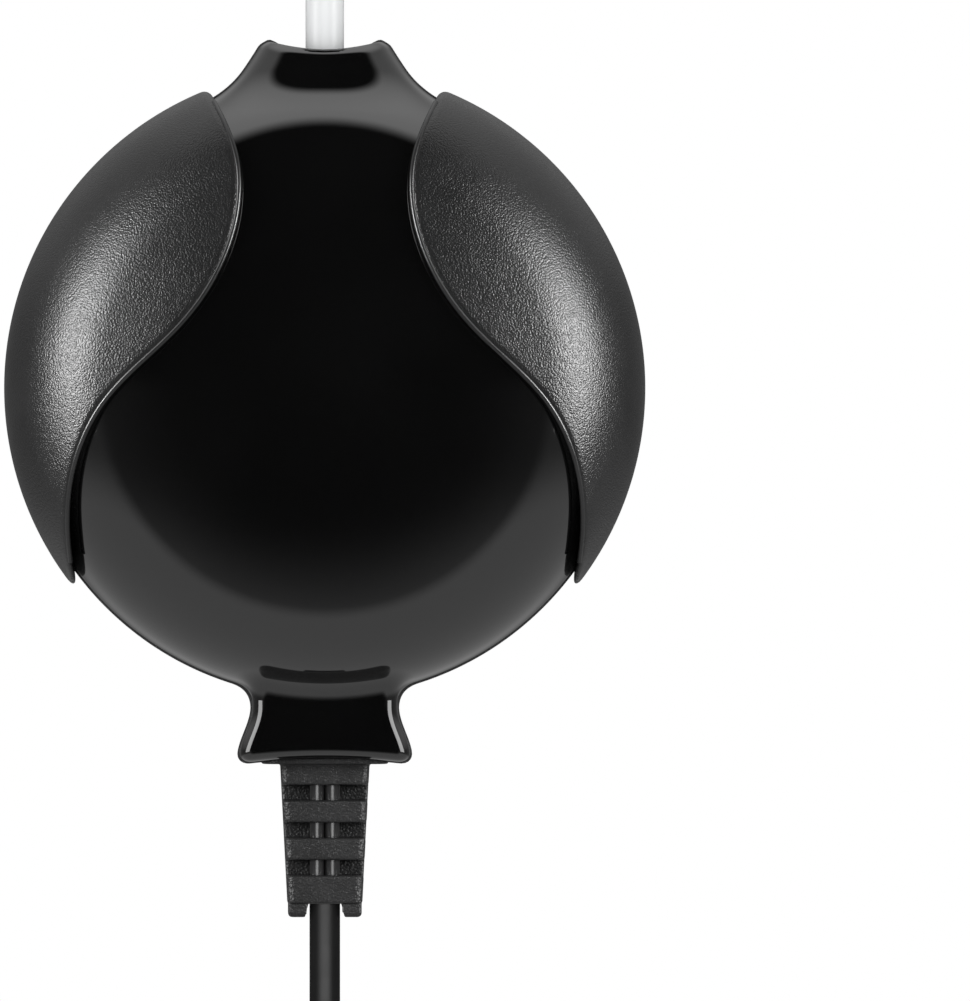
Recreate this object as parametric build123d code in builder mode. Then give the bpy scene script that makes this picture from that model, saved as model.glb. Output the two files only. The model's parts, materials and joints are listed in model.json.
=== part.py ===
"""A vibrating-diaphragm aquarium air pump that hangs on the tank's glass by a suction cup.

The origin is the centre of the cup's rim, on the glass (the plane y = 0).
The pump's round front faces -Y, +Z is up and +X is to the right, seen from the front.
Millimetres.
"""

import os
from math import atan2, degrees, pi, radians, tan

from build123d import *

os.makedirs("parts", exist_ok=True)

# ---------------------------------------------------------------- driving dimensions

# the lens-shaped body, whose sections are arcs about the Y axis
shell_r = 48.0
wall = 2.0
rear_y = -7.0
split_y = -23.0
front_y = -47.0
shoulder_r = 19.0
shoulder_y = -24.0
heel_r = 14.0
heel_y = rear_y - heel_r

# the two proud side panels
grip_proud = 2.0
grip_back_y = -17.0
grip_seam = [(18.4, 47.4), (13.3, 35.5), (13.9, 24.0), (22.6, 8.9), (34.2, -2.8), (39.4, -17.0), (38.2, -33.0)]
grip_pegs = [(23.0, 27.0), (40.0, 9.0), (42.5, -12.0)]
peg_r = 1.1

# collars, as (height, half width, half depth) of their sections: oval above, rounded oblong below
top_collar = [(40.0, 20.0, 12.5), (45.6, 15.6, 10.4), (50.0, 12.2, 8.6), (56.0, 9.0, 7.2)]
bottom_collar = [(-42.0, 13.4, 9.4), (-49.0, 11.4, 8.2), (-53.5, 12.4, 8.5), (-58.3, 13.5, 8.9)]
bottom_corner_r = 3.0
top_dip_r = 28.5
top_dip_z = 52.7
bottom_dip_r = 105.0
bottom_dip_z = -57.6

# the airline: standard 4/6 mm tube, and the one-way valve on its end
tube_r = 3.0
tube_bore_r = 2.0
tube_bottom_z = 43.0
tube_top_z = 85.0
spigot_r = 1.95
spigot_bore_r = 1.1
valve_r = 9.0
valve_seat_z = 88.0
valve_joint_z = 90.0
valve_top_z = 95.0
valve_tip_z = 107.0

# the moulded strain relief and the flat two-core lead
relief_top_z = -58.3
relief_end_z = -80.4
relief_feet_z = -82.5
relief_top = (14.0, 8.2)
relief_end = (11.6, 6.6)
relief_foot = (4.15, 1.55, 2.8)
slot_count = 3
slot_first_z = -63.1
slot_pitch = 5.85
slot_height = 2.4
slot_floor_y = split_y + 1.3
core_pitch = 2.4
core_r = 1.15
cord_width = 4.8
cord_thick = 3.0
cord_length = 1500.0

# where the spare lead lies, tied in a ring on the table below the pump
table_z = -143.6
tie_thick = 1.1
coil_centre = (33.0, -84.0)
coil_mid_r = 28.0
coil_columns = 4
coil_layers = 2
column_pitch = 3.3
layer_pitch = 4.9
coil_low_z = table_z + tie_thick + cord_width / 2

# the motor: an E core, its coil and the swinging arm, all about one line
arm_x = -10.0
motor_y = -25.0
pivot_z = 32.0
core_width = 26.0
core_depth = 12.0
core_base_z = (-34.0, -29.0)
pole_z = -17.0
middle_leg = 8.0
side_leg = 5.0

# the pump: a diaphragm on an axis along X
pump_z = 10.0
diaphragm_r = 10.4
block_x = (4.0, 15.0)
block_side = 25.0
chamber_r = 9.5
chamber_depth = 5.5
gasket_thick = 0.8
cover_x = (block_x[1] + gasket_thick, 24.0)
port_r = 1.5
intake_y = -30.5
exhaust_y = -19.5
flap_size = (4.4, 7.0, 0.5)
flap_top_z = pump_z + flap_size[1] / 2

# small parts
screw_places = [(32.8, 22.9), (-32.8, 22.9), (-32.8, -22.9), (32.8, -22.9)]
filter_place = (20.0, -18.0)
filter_r = 8.0
nipple_y = split_y
elbow_z = 37.0
hose_r = 2.5
gap = 0.05

# ---------------------------------------------------------------- shared shapes


def front_plane(y):
    """A plane across the pump at depth y, seen from the front: local x is X and local y is Z."""
    return Plane.XZ.offset(-y)


def side_plane(x):
    """A plane across the X axis: local x is Y and local y is Z."""
    return Plane.YZ.offset(x)


def disc_profile(inset):
    """Half section of the lens-shaped body, set in from its outside, for a turn about the Y axis."""
    centre_r = shell_r - shoulder_r
    rise = front_y - shoulder_y
    dome_r = (centre_r**2 + rise**2 - shoulder_r**2) / (-2 * (shoulder_r + rise))
    dome_y = front_y + dome_r
    turn = degrees(atan2(centre_r, dome_y - shoulder_y))
    heel = (shell_r - heel_r, heel_y)
    side = shell_r - inset
    with BuildSketch(Plane.XY) as profile:
        with BuildLine():
            CenterArc((0, dome_y), dome_r - inset, -90, turn)
            CenterArc((centre_r, shoulder_y), shoulder_r - inset, turn - 90, 90 - turn)
            Line((side, shoulder_y), (side, heel_y))
            CenterArc(heel, heel_r - inset, 0, 90)
            Polyline((heel[0], rear_y - inset), (0, rear_y - inset), (0, front_y + inset))
        make_face()
    return profile.sketch


def slab(x, y, z):
    """A plain block between three pairs of limits."""
    with BuildPart() as block:
        with Locations(((x[0] + x[1]) / 2, (y[0] + y[1]) / 2, (z[0] + z[1]) / 2)):
            Box(x[1] - x[0], y[1] - y[0], z[1] - z[0])
    return block.part


def along_y(places, radius, y0, y1):
    """Round bars along Y, from the depth y0 forward to y1."""
    with BuildPart() as bars:
        with BuildSketch(front_plane(y0)):
            with Locations(*places):
                Circle(radius)
        extrude(amount=y0 - y1)
    return bars.part


def along_x(places, radius, x0, x1):
    """Round bars along X at (y, z) places."""
    with BuildPart() as bars:
        with BuildSketch(side_plane(x0)):
            with Locations(*places):
                Circle(radius)
        extrude(amount=x1 - x0)
    return bars.part


def along_z(places, radius, z0, z1):
    """Round bars along Z at (x, y) places."""
    with BuildPart() as bars:
        with BuildSketch(Plane.XY.offset(z0)):
            with Locations(*places):
                Circle(radius)
        extrude(amount=z1 - z0)
    return bars.part


def arc_radii(points):
    """Each corner's arc, as large as its two runs allow."""
    radii = []
    for a, b, c in zip(points, points[1:], points[2:]):
        before = Vector(*b) - Vector(*a)
        after = Vector(*c) - Vector(*b)
        half_turn = radians(before.get_angle(after)) / 2
        radii.append(0.45 * min(before.length, after.length) / tan(half_turn))
    return radii


def save(piece, name):
    """Label a finished piece and write it."""
    piece.label = name
    export_step(piece, f"parts/{name}.step")


# ---------------------------------------------------------------- housing

with BuildPart() as envelope:
    add(disc_profile(0))
    revolve(axis=Axis.Y)
    for height, half_width, half_depth in top_collar:
        with BuildSketch(Plane.XY.offset(height)):
            with Locations((0, split_y)):
                Ellipse(half_width, half_depth)
    loft()
    with BuildSketch(front_plane(0)):
        with Locations((0, top_dip_z + top_dip_r)):
            Circle(top_dip_r)
    extrude(amount=60, mode=Mode.SUBTRACT)
    for height, half_width, half_depth in bottom_collar:
        with BuildSketch(Plane.XY.offset(height)):
            with Locations((0, split_y)):
                RectangleRounded(2 * half_width, 2 * half_depth, bottom_corner_r)
    loft()
    with BuildSketch(front_plane(0)):
        with Locations((0, bottom_dip_z - bottom_dip_r)):
            Circle(bottom_dip_r)
    extrude(amount=60, mode=Mode.SUBTRACT)

nipple_boss = along_z([(0, nipple_y)], 9.5, 42.0, 47.0)
relief_boss = slab((-12.5, 12.5), (split_y - 9, split_y + 9), (-48.0, -42.0))
tube_way = along_z([(0, nipple_y)], 3.8, 41.0, 60.0)
with BuildPart() as tube_mouth:
    for height, half_width, half_depth in [(48.5, 3.85, 3.8), (56.0, 8.2, 5.9)]:
        with BuildSketch(Plane.XY.offset(height)):
            with Locations((0, nipple_y)):
                Ellipse(half_width, half_depth)
    loft()
relief_way = slab((-6.8, 6.8), (split_y - 4.0, split_y + 4.0), (-60.0, -41.0))

with BuildPart() as cavity:
    add(disc_profile(wall))
    revolve(axis=Axis.Y)
    add(nipple_boss, mode=Mode.SUBTRACT)
    add(relief_boss, mode=Mode.SUBTRACT)
    add(along_y(screw_places, 3.8, 0, front_y), mode=Mode.SUBTRACT)
    add(tube_way)
    add(tube_mouth.part)
    add(relief_way)

peg_places = grip_pegs + [(-x, z) for x, z in grip_pegs]
with BuildPart() as front_shell:
    add(envelope.part)
    add(cavity.part, mode=Mode.SUBTRACT)
    split(bisect_by=front_plane(split_y), keep=Keep.TOP)
    add(along_y(screw_places, 1.4, split_y, split_y - 9), mode=Mode.SUBTRACT)
    add(along_y(peg_places, peg_r + gap, split_y, front_y), mode=Mode.SUBTRACT)
save(front_shell.part, "front_shell")

motor_screw_places = [(arm_x - 16.3, -31.5), (arm_x + 16.3, -31.5)]
pivot_screw_places = [(-21.0, 28.6), (-21.0, 35.4)]
with BuildPart() as rear_shell:
    add(envelope.part)
    add(cavity.part, mode=Mode.SUBTRACT)
    split(bisect_by=front_plane(split_y), keep=Keep.BOTTOM)
    # bosses for the motor, the pivot and the filter cup
    add(along_y(motor_screw_places, 3.0, rear_y - 1, -17.4))
    add(along_y(pivot_screw_places, 2.6, rear_y - 1, -16.0))
    add(along_y([filter_place], filter_r + 2, rear_y - 1, -14.0))
    add(envelope.part, mode=Mode.INTERSECT)
    add(along_y(motor_screw_places, 1.1, -10.5, -17.4), mode=Mode.SUBTRACT)
    add(along_y(pivot_screw_places, 1.1, -10.5, -16.0), mode=Mode.SUBTRACT)
    add(along_y([filter_place], filter_r + 0.2, 0, -12.0), mode=Mode.SUBTRACT)
    with BuildSketch(front_plane(0)):
        with Locations(filter_place):
            with PolarLocations(4.5, 6):
                Circle(1.1)
    extrude(amount=20, mode=Mode.SUBTRACT)
    # shell screws, the cup's neck and the groove for the gasket
    add(along_y(screw_places, 1.6, 0, split_y), mode=Mode.SUBTRACT)
    add(along_y(screw_places, 3.2, 0, -11.5), mode=Mode.SUBTRACT)
    add(along_y([(0, 0)], 4.0, 0, -10.0), mode=Mode.SUBTRACT)
    with BuildSketch(front_plane(split_y + 1)):
        Circle(47.4)
        Circle(46.6, mode=Mode.SUBTRACT)
        Rectangle(30, 100, mode=Mode.SUBTRACT)
    extrude(amount=1, mode=Mode.SUBTRACT)
save(rear_shell.part, "rear_shell")

with BuildPart() as shell_gasket:
    with BuildSketch(front_plane(split_y + 1 - gap)):
        Circle(47.4 - gap)
        Circle(46.6 + gap, mode=Mode.SUBTRACT)
        Rectangle(31, 100, mode=Mode.SUBTRACT)
    extrude(amount=1 - 2 * gap)
save(shell_gasket.part, "shell_gasket")

with BuildPart() as grip_blank:
    add(disc_profile(-grip_proud))
    revolve(axis=Axis.Y)
with BuildPart() as grip_seat:
    add(disc_profile(-gap))
    revolve(axis=Axis.Y)

with BuildPart() as grip_panel_right:
    add(grip_blank.part)
    add(grip_seat.part, mode=Mode.SUBTRACT)
    add(envelope.part, mode=Mode.SUBTRACT)
    add(along_y(grip_pegs, peg_r, split_y - 4, front_y))
    add(grip_blank.part, mode=Mode.INTERSECT)
    with BuildSketch(front_plane(grip_back_y)):
        with BuildLine():
            Spline(*grip_seam)
            Polyline(grip_seam[-1], (60.0, -52.0), (60.0, 60.0), grip_seam[0])
        make_face()
    extrude(amount=40, mode=Mode.INTERSECT)
save(grip_panel_right.part, "grip_panel_right")
save(mirror(grip_panel_right.part, about=Plane.YZ), "grip_panel_left")

with BuildPart() as shell_screws:
    add(along_y(screw_places, 2.8, -9.7, -11.5))
    add(along_y(screw_places, 1.35, -11.5, -30.0))
    with BuildSketch(front_plane(-9.7)):
        with Locations(*screw_places):
            Rectangle(3.4, 0.8)
            Rectangle(0.8, 3.4)
    extrude(amount=1.0, mode=Mode.SUBTRACT)
save(shell_screws.part, "shell_screws")

with BuildPart() as screw_caps:
    add(along_y(screw_places, 3.1, 0, -9.6))
    add(envelope.part, mode=Mode.INTERSECT)
save(screw_caps.part, "screw_caps")

# a soft cup with a flat rim, and a neck and bead that hold it in the rear shell
with BuildPart() as suction_cup:
    with BuildSketch(Plane.XY):
        with BuildLine():
            Polyline((0, -3.2), (9.0, -2.2))
            ThreePointArc((9.0, -2.2), (14.5, -1.2), (18.6, 0))
            Polyline((18.6, 0), (20.0, 0), (19.8, -0.9))
            ThreePointArc((19.8, -0.9), (14.0, -3.3), (9.0, -5.4))
            Polyline((9.0, -5.4), (7.0, -6.9), (3.9, -6.9), (3.9, -9.1), (5.2, -9.1), (4.6, -10.8), (0, -10.8))
            Line((0, -10.8), (0, -3.2))
        make_face()
    revolve(axis=Axis.Y)
save(suction_cup.part, "suction_cup")

# ---------------------------------------------------------------- air intake

with BuildPart() as filter_cover:
    add(along_y([filter_place], filter_r + 0.1, -6.6, -8.8))
    with BuildSketch(front_plane(-6)):
        with Locations(filter_place):
            with GridLocations(0, 3.2, 1, 4):
                SlotOverall(8.0, 1.4)
    extrude(amount=4, mode=Mode.SUBTRACT)
save(filter_cover.part, "filter_cover")
save(along_y([filter_place], filter_r, -8.9, -11.9), "filter_felt")
save(slab((13.0, 27.0), (-21.0, -14.1), (-25.0, -11.0)), "intake_muffler_foam")

# ---------------------------------------------------------------- outlet

with BuildPart() as outlet_nipple:
    add(along_z([(0, nipple_y)], 8.0, 40.0, 41.0))
    add(along_z([(0, nipple_y)], spigot_r, 40.0, 53.0))
    add(along_z([(0, nipple_y)], 3.2, elbow_z - 2, 40.0))
    add(along_x([(nipple_y, elbow_z)], 1.45, 0, 11.0))
    add(along_z([(0, nipple_y)], spigot_bore_r, elbow_z, 53.0), mode=Mode.SUBTRACT)
    add(along_x([(nipple_y, elbow_z)], 0.9, 0, 11.0), mode=Mode.SUBTRACT)
save(outlet_nipple.part, "outlet_nipple")

with BuildPart() as nipple_seal:
    with BuildSketch(Plane.XY.offset(41.0)):
        with Locations((0, nipple_y)):
            Circle(7.6)
            Circle(4.4, mode=Mode.SUBTRACT)
    extrude(amount=1.0)
save(nipple_seal.part, "nipple_seal")

hose_x = 19.5
hose_route = [(4.5, nipple_y, elbow_z), (hose_x, nipple_y, elbow_z), (hose_x, nipple_y, 24.6)]
with BuildPart() as internal_hose:
    with BuildLine() as hose_line:
        FilletPolyline(*hose_route, radius=8.5)
    with BuildSketch(Plane.YZ.offset(hose_route[0][0])):
        with Locations((nipple_y, elbow_z)):
            Circle(hose_r)
            Circle(1.5, mode=Mode.SUBTRACT)
    sweep()
save(internal_hose.part, "internal_hose")

# ---------------------------------------------------------------- diaphragm and valves

pump_axis = (motor_y, pump_z)
block_y = (motor_y - block_side / 2, motor_y + block_side / 2)
block_z = (pump_z - block_side / 2, pump_z + block_side / 2)
block_screws = [(motor_y + 10.8 * j, pump_z + 10.8 * k) for j in (-1, 1) for k in (-1, 1)]

with BuildPart() as valve_block:
    add(slab(block_x, block_y, block_z))
    fillet(valve_block.edges().filter_by(Axis.X), radius=1.5)
    add(along_x([pump_axis], chamber_r, block_x[0], block_x[0] + chamber_depth), mode=Mode.SUBTRACT)
    add(along_x([(intake_y, pump_z), (exhaust_y, pump_z)], port_r, *block_x), mode=Mode.SUBTRACT)
    add(along_x(block_screws, 0.85, block_x[0] + 2, block_x[1]), mode=Mode.SUBTRACT)
save(valve_block.part, "valve_block")

with BuildPart() as valve_gasket:
    add(slab((block_x[1], cover_x[0]), block_y, block_z))
    fillet(valve_gasket.edges().filter_by(Axis.X), radius=1.5)
    for y0, y1 in ((-36.0, -27.0), (-25.5, -14.0)):
        add(slab((block_x[1], cover_x[0]), (y0, y1), (pump_z - 7, pump_z + 7)), mode=Mode.SUBTRACT)
    add(along_x(block_screws, 1.1, block_x[1], cover_x[0]), mode=Mode.SUBTRACT)
save(valve_gasket.part, "valve_gasket")

with BuildPart() as valve_cover:
    add(slab(cover_x, block_y, block_z))
    fillet(valve_cover.edges().filter_by(Axis.X), radius=1.5)
    fillet(valve_cover.faces().sort_by(Axis.X)[-1].edges(), radius=1.0)
    add(along_z([(hose_x, nipple_y)], 1.45, block_z[1], block_z[1] + 5.5))
    for y0, y1 in ((-36.0, -27.0), (-25.5, -14.0)):
        add(slab((cover_x[0], 22.0), (y0, y1), (pump_z - 7, pump_z + 7)), mode=Mode.SUBTRACT)
    add(along_z([(hose_x, nipple_y)], 0.9, pump_z, block_z[1] + 5.5), mode=Mode.SUBTRACT)
    add(along_z([(18.5, -33.0), (18.5, -29.5)], 1.2, block_z[0], pump_z), mode=Mode.SUBTRACT)
    add(along_x(block_screws, 1.1, *cover_x), mode=Mode.SUBTRACT)
save(valve_cover.part, "valve_cover")

with BuildPart() as valve_screws:
    add(along_x(block_screws, 0.8, block_x[0] + 3, cover_x[1]))
    add(along_x(block_screws, 1.7, cover_x[1], cover_x[1] + 1.3))
save(valve_screws.part, "valve_screws")


def flap(port_y, seat_x, away):
    """A rubber flap over a port, hung from the line along its top edge on the seat."""
    near = seat_x + away * gap
    far = near + away * flap_size[2]
    x = (min(near, far), max(near, far))
    return slab(x, (port_y - flap_size[0] / 2, port_y + flap_size[0] / 2), (flap_top_z - flap_size[1], flap_top_z))


save(flap(intake_y, block_x[0] + chamber_depth, -1), "intake_flap")
save(flap(exhaust_y, block_x[1], 1), "exhaust_flap")

# the rubber diaphragm: a flat middle, one rolled fold and a bead at its rim
with BuildPart() as diaphragm:
    with BuildSketch(Plane.XY.offset(pump_z)):
        with BuildLine():
            Polyline((1.0, motor_y + 1.55), (2.5, motor_y + 1.55), (2.5, motor_y + 6.4))
            ThreePointArc((2.5, motor_y + 6.4), (3.6, motor_y + 7.9), (2.5, motor_y + 9.4))
            Polyline((2.5, motor_y + 9.4), (2.6, motor_y + diaphragm_r), (0.9, motor_y + diaphragm_r))
            Line((0.9, motor_y + diaphragm_r), (1.0, motor_y + 9.0))
            ThreePointArc((1.0, motor_y + 9.0), (2.1, motor_y + 7.9), (1.0, motor_y + 6.8))
            Line((1.0, motor_y + 6.8), (1.0, motor_y + 1.55))
        make_face()
    revolve(axis=Axis((0, motor_y, pump_z), (1, 0, 0)))
save(diaphragm.part, "diaphragm")

with BuildPart() as clamp_ring:
    add(along_x([pump_axis], 12.5, -2.0, block_x[0]))
    add(along_x([pump_axis], 9.3, -2.0, block_x[0]), mode=Mode.SUBTRACT)
    add(along_x([pump_axis], 11.2, -0.5, block_x[0]), mode=Mode.SUBTRACT)
save(clamp_ring.part, "diaphragm_clamp_ring")

with BuildPart() as diaphragm_plates:
    for x0 in (-0.5, 2.5):
        add(along_x([pump_axis], 6.2, x0, x0 + 1.5))
    add(along_x([pump_axis], 1.55, -0.5, 4.0), mode=Mode.SUBTRACT)
save(diaphragm_plates.part, "diaphragm_plates")

with BuildPart() as diaphragm_bolt:
    add(along_x([pump_axis], 1.5, arm_x - 2, 5.9))
    for x0, thick in ((arm_x - 4, 2.0), (4.0, 1.6)):
        with BuildSketch(side_plane(x0)):
            with Locations(pump_axis):
                RegularPolygon(radius=2.9, side_count=6)
        extrude(amount=thick)
    add(along_x([pump_axis], 2.6, arm_x + 2, -0.5))
save(diaphragm_bolt.part, "diaphragm_bolt")

isolator_places = [(8.0, 19.5), (8.0, 0.5)]
save(along_y(isolator_places, 2.2, rear_y - wall, block_y[1]), "isolator_pads")

# ---------------------------------------------------------------- motor

core_y = (motor_y - core_depth / 2, motor_y + core_depth / 2)
core_x = (arm_x - core_width / 2, arm_x + core_width / 2)
leg_spans = [
    (core_x[0], core_x[0] + side_leg),
    (arm_x - middle_leg / 2, arm_x + middle_leg / 2),
    (core_x[1] - side_leg, core_x[1]),
]
with BuildPart() as core:
    add(slab(core_x, core_y, core_base_z))
    for span in leg_spans:
        add(slab(span, core_y, (core_base_z[1], pole_z)))
save(core.part, "core_laminations")

bobbin_x = (arm_x - 7.8, arm_x + 7.8)
bobbin_y = (motor_y - 10.5, motor_y + 10.5)
bobbin_z = (core_base_z[1] + 0.5, pole_z - 1.5)
leg_hole = slab((arm_x - 4.2, arm_x + 4.2), (motor_y - 6.2, motor_y + 6.2), (bobbin_z[0], bobbin_z[1]))
with BuildPart() as bobbin:
    add(slab(bobbin_x, bobbin_y, (bobbin_z[0], bobbin_z[0] + 1)))
    add(slab(bobbin_x, bobbin_y, (bobbin_z[1] - 1, bobbin_z[1])))
    add(slab((arm_x - 5.2, arm_x + 5.2), (motor_y - 7.2, motor_y + 7.2), bobbin_z))
    add(leg_hole, mode=Mode.SUBTRACT)
save(bobbin.part, "coil_bobbin")

winding_z = (bobbin_z[0] + 1, bobbin_z[1] - 1)
spool = slab((arm_x - 5.2, arm_x + 5.2), (motor_y - 7.2, motor_y + 7.2), winding_z)
with BuildPart() as winding:
    add(slab((arm_x - 7.3, arm_x + 7.3), (motor_y - 9.3, motor_y + 9.3), winding_z))
    fillet(winding.edges().filter_by(Axis.Z), radius=1.5)
    add(spool, mode=Mode.SUBTRACT)
save(winding.part, "coil_winding")

with BuildPart() as tape:
    add(slab((arm_x - 7.6, arm_x + 7.6), (motor_y - 9.6, motor_y + 9.6), winding_z))
    fillet(tape.edges().filter_by(Axis.Z), radius=1.8)
    with BuildSketch(Plane.XY.offset(winding_z[0])):
        with Locations((arm_x, motor_y)):
            RectangleRounded(14.6, 18.6, 1.5)
    extrude(amount=winding_z[1] - winding_z[0], mode=Mode.SUBTRACT)
save(tape.part, "coil_tape")

bracket_x = (motor_screw_places[0][0] - 2.6, motor_screw_places[1][0] + 2.6)
with BuildPart() as core_bracket:
    add(slab(bracket_x, (core_y[1] + 0.1, core_y[1] + 1.6), core_base_z))
    for side in (core_x[0] - 1.6, core_x[1] + 0.1):
        add(slab((side, side + 1.5), (core_y[0], core_y[1] + 1.0), core_base_z))
    add(along_y(motor_screw_places, 1.2, 0, -40), mode=Mode.SUBTRACT)
save(core_bracket.part, "core_bracket")

with BuildPart() as core_screws:
    add(along_y(motor_screw_places, 1.05, -10.6, core_y[1] + 0.1))
    add(along_y(motor_screw_places, 1.4, core_y[1] + 0.1, core_y[1] - 1.3))
save(core_screws.part, "core_screws")

magnet_z = (pole_z + 1.5, pole_z + 4.5)
magnet_x = [arm_x - 4.2, arm_x + 4.2]
with BuildPart() as swing_arm:
    with BuildSketch(front_plane(motor_y + 4)):
        with Locations((arm_x, (pivot_z + magnet_z[1] + 1) / 2)):
            Rectangle(4.0, pivot_z - magnet_z[1] - 1)
        with Locations((arm_x, pivot_z)):
            Circle(4.2)
    extrude(amount=8)
    add(slab((arm_x - 9, arm_x + 9), (motor_y - 5, motor_y + 5), (magnet_z[0] + 1.5, magnet_z[1] + 3)))
    for x in magnet_x:
        add(slab((x - 3.2, x + 3.2), (motor_y - 5, motor_y + 5), magnet_z), mode=Mode.SUBTRACT)
    add(along_y([(arm_x, pivot_z)], 2.06, 0, -40), mode=Mode.SUBTRACT)
    add(along_x([pump_axis], 1.5, arm_x - 4, arm_x + 4), mode=Mode.SUBTRACT)
save(swing_arm.part, "swing_arm")

with BuildPart() as arm_magnets:
    for x in magnet_x:
        add(slab((x - 3.2, x + 3.2), (motor_y - 4.8, motor_y + 4.8), magnet_z))
save(arm_magnets.part, "arm_magnets")

cheek_y = [(-31.5, -30.0), (-17.5, -16.0)]
with BuildPart() as pivot_bracket:
    add(slab((-17.0, -5.0), cheek_y[0], (27.0, 37.0)))
    add(slab((-24.0, -5.0), cheek_y[1], (26.4, 37.6)))
    add(slab((-17.0, -15.6), (cheek_y[0][0], cheek_y[1][1]), (27.0, 37.0)))
    add(along_y([(arm_x, pivot_z)], 2.0, 0, -40), mode=Mode.SUBTRACT)
    add(along_y(pivot_screw_places, 1.2, 0, -25), mode=Mode.SUBTRACT)
save(pivot_bracket.part, "pivot_bracket")

with BuildPart() as pivot_screws:
    add(along_y(pivot_screw_places, 1.05, -10.6, cheek_y[1][0]))
    add(along_y(pivot_screw_places, 2.0, cheek_y[1][0], cheek_y[1][0] - 1.4))
save(pivot_screws.part, "pivot_screws")

with BuildPart() as pivot_pin:
    add(along_y([(arm_x, pivot_z)], 2.0, -15.0, -33.0))
    add(along_y([(arm_x, pivot_z)], 3.0, -31.5, -33.0))
save(pivot_pin.part, "pivot_pin")

with BuildPart() as pivot_bushes:
    for y0, y1 in ((-17.6, -20.7), (-29.3, -29.9)):
        add(along_y([(arm_x, pivot_z)], 3.6, y0, y1))
    add(along_y([(arm_x, pivot_z)], 2.1, 0, -40), mode=Mode.SUBTRACT)
save(pivot_bushes.part, "pivot_bushes")

# ---------------------------------------------------------------- wiring


def wire(route, radius, bend):
    """A round wire along a bent route."""
    with BuildPart() as strand:
        with BuildLine():
            FilletPolyline(*route, radius=bend)
        start = Vector(*route[0])
        with BuildSketch(Plane(origin=start, z_dir=Vector(*route[1]) - start)):
            Circle(radius)
        sweep()
    return strand.part


lead_x = core_pitch / 2
crimp_x = 11.5
save(wire([(lead_x, split_y, -39), (lead_x, split_y, -36.6), (crimp_x, split_y, -36.6), (crimp_x, split_y, -31)],
          0.6, 1.4), "lead_wire_live")
save(wire([(-lead_x, split_y, -39), (-lead_x, split_y, -36.4), (-lead_x, -28, -36.4), (crimp_x, -28, -36.4),
           (crimp_x, -28, -31)], 0.6, 1.2), "lead_wire_neutral")
save(along_z([(crimp_x, split_y), (crimp_x, -28)], 1.6, -31, -22), "crimp_connectors")
save(wire([(crimp_x, split_y, -22), (crimp_x, split_y, -20), (5.5, split_y, -20), (5.5, -38.5, -20),
           (-6, -38.5, -20), (-6, -35.5, -20)], 0.35, 1.0), "coil_tail_live")
save(wire([(crimp_x, -28, -22), (crimp_x, -28, -19.2), (crimp_x, -40, -19.2), (-14, -40, -19.2), (-14, -35.5, -19.2)],
          0.35, 1.0), "coil_tail_neutral")
save(along_x([(-36.1, -24.0)], 1.2, arm_x - 4.5, arm_x + 4.5), "thermal_fuse")

# ---------------------------------------------------------------- strain relief and lead

with BuildPart() as relief:
    with BuildSketch(Plane.XY.offset(relief_top_z)):
        with Locations((0, split_y)):
            RectangleRounded(*relief_top, 1.6)
    with BuildSketch(Plane.XY.offset(relief_end_z)):
        with Locations((0, split_y)):
            RectangleRounded(*relief_end, 1.6)
    loft()
    # a neck through the collar, and a flange that the shells close on
    with BuildSketch(Plane.XY.offset(relief_top_z)):
        with Locations((0, split_y)):
            RectangleRounded(13.4, 7.8, 1.6)
    extrude(amount=-41.9 - relief_top_z)
    add(slab((-9.0, 9.0), (split_y - 5.5, split_y + 5.5), (-41.9, -39.0)))
    # two feet beside the lead at the end
    foot_x, foot_half_x, foot_half_y = relief_foot
    for x in (-foot_x, foot_x):
        add(slab((x - foot_half_x, x + foot_half_x), (split_y - foot_half_y, split_y + foot_half_y),
                 (relief_feet_z, relief_end_z)))
    # slots across the front, down to the two cores; the back is whole
    for n in range(slot_count):
        z = slot_first_z - n * slot_pitch
        add(slab((-relief_top[0], relief_top[0]), (split_y - relief_top[1], slot_floor_y),
                 (z - slot_height / 2, z + slot_height / 2)), mode=Mode.SUBTRACT)
    with BuildSketch(Plane.XY.offset(relief_end_z)):
        with Locations((0, split_y)):
            SlotOverall(core_pitch + 2 * core_r + 0.2, 2 * core_r + 0.2)
    extrude(amount=50, mode=Mode.SUBTRACT)
save(relief.part, "cord_strain_relief")
save(along_z([(-lead_x, split_y), (lead_x, split_y)], core_r, relief_end_z, -39.0), "cord_cores")

cord_route = [(0.0, -23.0, relief_end_z), (0.0, -23.0, -116.0), (0.0, -48.6, -142.0), (0.0, -84.0, -140.9)]
cord_radii = arc_radii(cord_route)
with BuildPart() as power_cord:
    with BuildLine() as cord_line:
        FilletPolyline(*cord_route, radius=cord_radii)
    with BuildSketch(Plane.XY.offset(relief_end_z)):
        with Locations((0, split_y)):
            SlotOverall(cord_width, cord_thick)
    sweep()
save(power_cord.part, "power_cord")

ring_half = (coil_columns - 1) * column_pitch / 2 + cord_thick / 2 + 0.2
ring_z = (coil_low_z - cord_width / 2, coil_low_z + (coil_layers - 1) * layer_pitch + cord_width / 2)
with BuildPart() as coil:
    with BuildSketch(Plane.XY.offset(ring_z[0])):
        with Locations(coil_centre):
            Circle(coil_mid_r + ring_half)
            Circle(coil_mid_r - ring_half, mode=Mode.SUBTRACT)
    extrude(amount=ring_z[1] - ring_z[0])
    fillet(coil.edges(), radius=1.4)
save(coil.part, "power_cord_coil")

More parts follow.
